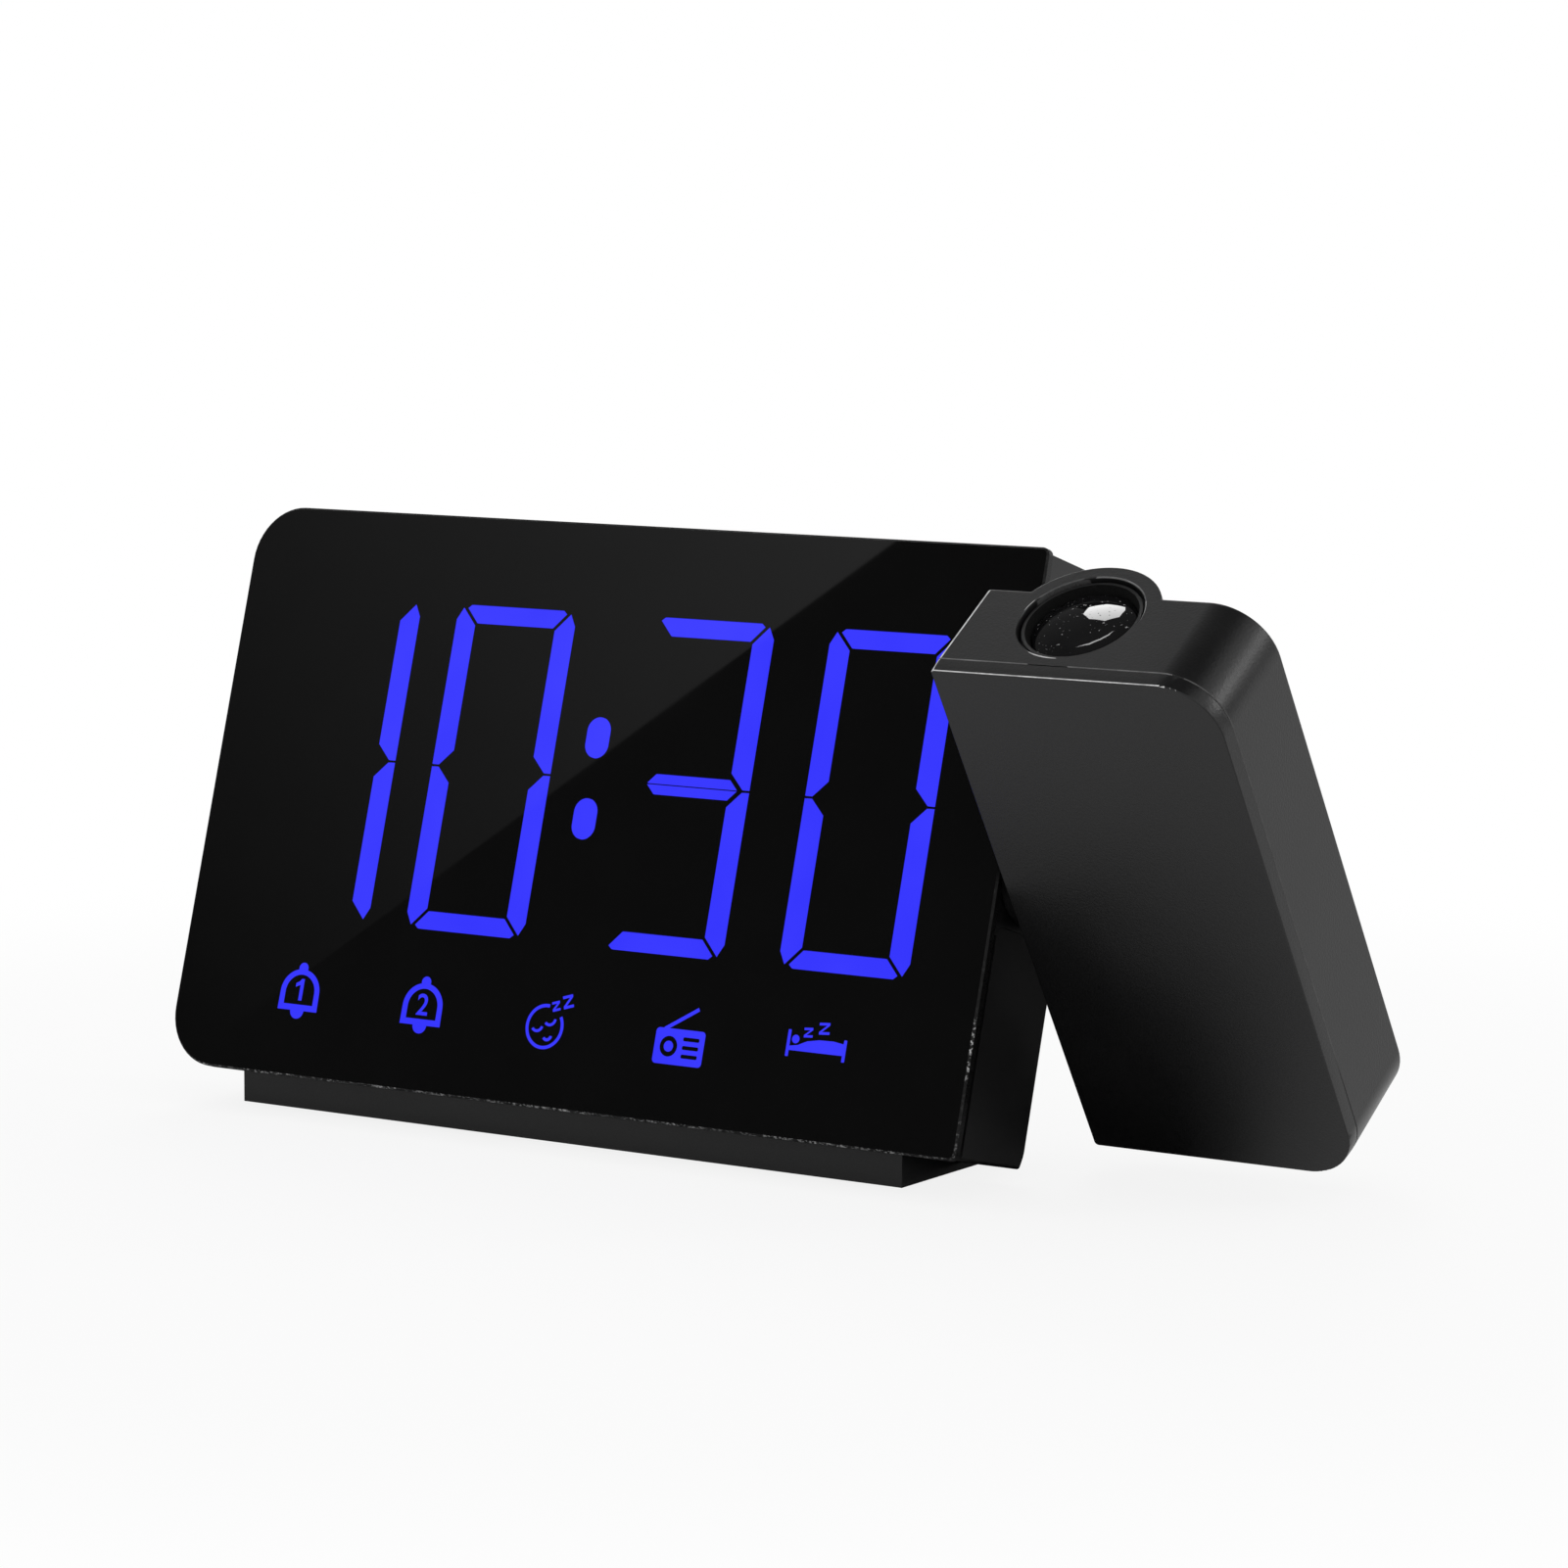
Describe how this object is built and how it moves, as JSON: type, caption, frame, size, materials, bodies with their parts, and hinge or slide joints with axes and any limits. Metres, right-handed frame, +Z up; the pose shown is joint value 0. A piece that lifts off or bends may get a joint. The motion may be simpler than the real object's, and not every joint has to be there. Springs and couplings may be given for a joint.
{
  "type": "projection alarm clock",
  "caption": "Leaning digital clock with a lit glossy face and a projector arm that turns on its right side, closed by a hinge shaft, with a focusing lens in its end.",
  "frame": {"origin": "centre of the bounding box, on the table plane", "axes": "+X to the right along the clock's width as seen from the front, +Y to the back, +Z up"},
  "size_m": [0.1854, 0.062, 0.0903],
  "materials": {
    "gloss_black": "gloss",
    "matte_black": "fine textured",
    "lit_blue": "gloss, lit from behind",
    "white_plastic": "matte",
    "board_green": "solder mask",
    "component_black": "moulded",
    "led_cream": "cast",
    "steel": "zinc plated",
    "brass": "turned",
    "nickel": "nickel plated",
    "rubber_black": "matte",
    "lens_glass": "clear, coated",
    "picture_glass": "dark, polarised"
  },
  "bodies": {
    "clock": {"front_panel": "gloss_black", "display_segments": "lit_blue", "front_frame": "matte_black", "light_box": "white_plastic", "led_chips": "led_cream", "main_board": "board_green", "clock_chip": "component_black", "tact_switches": "component_black", "rear_shell": "matte_black", "shell_screws": "steel", "speaker": "component_black", "battery_door": "matte_black", "door_screw": "steel", "coin_cell": "nickel", "cell_contact": "nickel", "usb_port": "nickel", "dc_jack": "component_black", "antenna_gland": "rubber_black", "hinge_cover": "matte_black", "hinge_bush": "brass", "pivot_washer": "matte_black", "wave_washer": "steel", "stand_foot": "matte_black", "foot_screws": "steel", "rubber_feet": "rubber_black"},
    "projector_arm": {"pivot_shaft": "steel", "shaft_nut": "steel", "arm_front_cover": "matte_black", "arm_rear_shell": "matte_black", "arm_screws": "steel", "lens_bezel": "matte_black", "light_tube": "component_black", "image_panel": "picture_glass", "condenser_lens": "lens_glass", "lamp_board": "board_green", "projector_lamp": "led_cream", "arm_board": "board_green"},
    "lens_carriage": {"lens_barrel": "component_black", "front_lens": "lens_glass", "rear_lens": "lens_glass"},
    "focus_ring": {"focus_wheel": "matte_black"},
    "snooze": {"snooze_bar": "matte_black"},
    "key_1": {"rear_key_1": "matte_black"},
    "key_2": {"rear_key_2": "matte_black"},
    "key_3": {"rear_key_3": "matte_black"},
    "key_4": {"rear_key_4": "matte_black"},
    "key_5": {"rear_key_5": "matte_black"},
    "key_6": {"rear_key_6": "matte_black"}
  },
  "joints": [
    {"name": "arm_turn", "type": "hinge", "parent": "clock", "child": "projector_arm", "pos_m": [0.0496, 0.00143, 0.0455], "axis": [1, 0, 0], "range_deg": [-139.1, 40.9]},
    {"name": "focus_turn", "type": "hinge", "parent": "projector_arm", "child": "focus_ring", "pos_m": [0.0668, -0.01221, 0.07109], "axis": [0, -0.5417, 0.8406], "range_deg": [-150, 150]},
    {"name": "lens_slide", "type": "slide", "parent": "projector_arm", "child": "lens_carriage", "axis": [0, -0.5417, 0.8406], "range_m": [-0.0006, 0.0006]},
    {"name": "snooze_press", "type": "slide", "parent": "clock", "child": "snooze", "axis": [0, -0.2807, -0.9598], "range_m": [0, 0.0007], "stiffness_N_per_m": 900, "springref_m": -0.0007},
    {"name": "key_1_press", "type": "slide", "parent": "clock", "child": "key_1", "axis": [0, -0.9598, 0.2807], "range_m": [0, 0.0008], "stiffness_N_per_m": 900, "springref_m": -0.0005},
    {"name": "key_2_press", "type": "slide", "parent": "clock", "child": "key_2", "axis": [0, -0.9598, 0.2807], "range_m": [0, 0.0008], "stiffness_N_per_m": 900, "springref_m": -0.0005},
    {"name": "key_3_press", "type": "slide", "parent": "clock", "child": "key_3", "axis": [0, -0.9598, 0.2807], "range_m": [0, 0.0008], "stiffness_N_per_m": 900, "springref_m": -0.0005},
    {"name": "key_4_press", "type": "slide", "parent": "clock", "child": "key_4", "axis": [0, -0.9598, 0.2807], "range_m": [0, 0.0008], "stiffness_N_per_m": 900, "springref_m": -0.0005},
    {"name": "key_5_press", "type": "slide", "parent": "clock", "child": "key_5", "axis": [0, -0.9598, 0.2807], "range_m": [0, 0.0008], "stiffness_N_per_m": 900, "springref_m": -0.0005},
    {"name": "key_6_press", "type": "slide", "parent": "clock", "child": "key_6", "axis": [0, -0.9598, 0.2807], "range_m": [0, 0.0008], "stiffness_N_per_m": 900, "springref_m": -0.0005}
  ],
  "couplings": [
    {"joint": "focus_turn", "follows": "lens_slide", "rad_per_m": 4341.5}
  ]
}
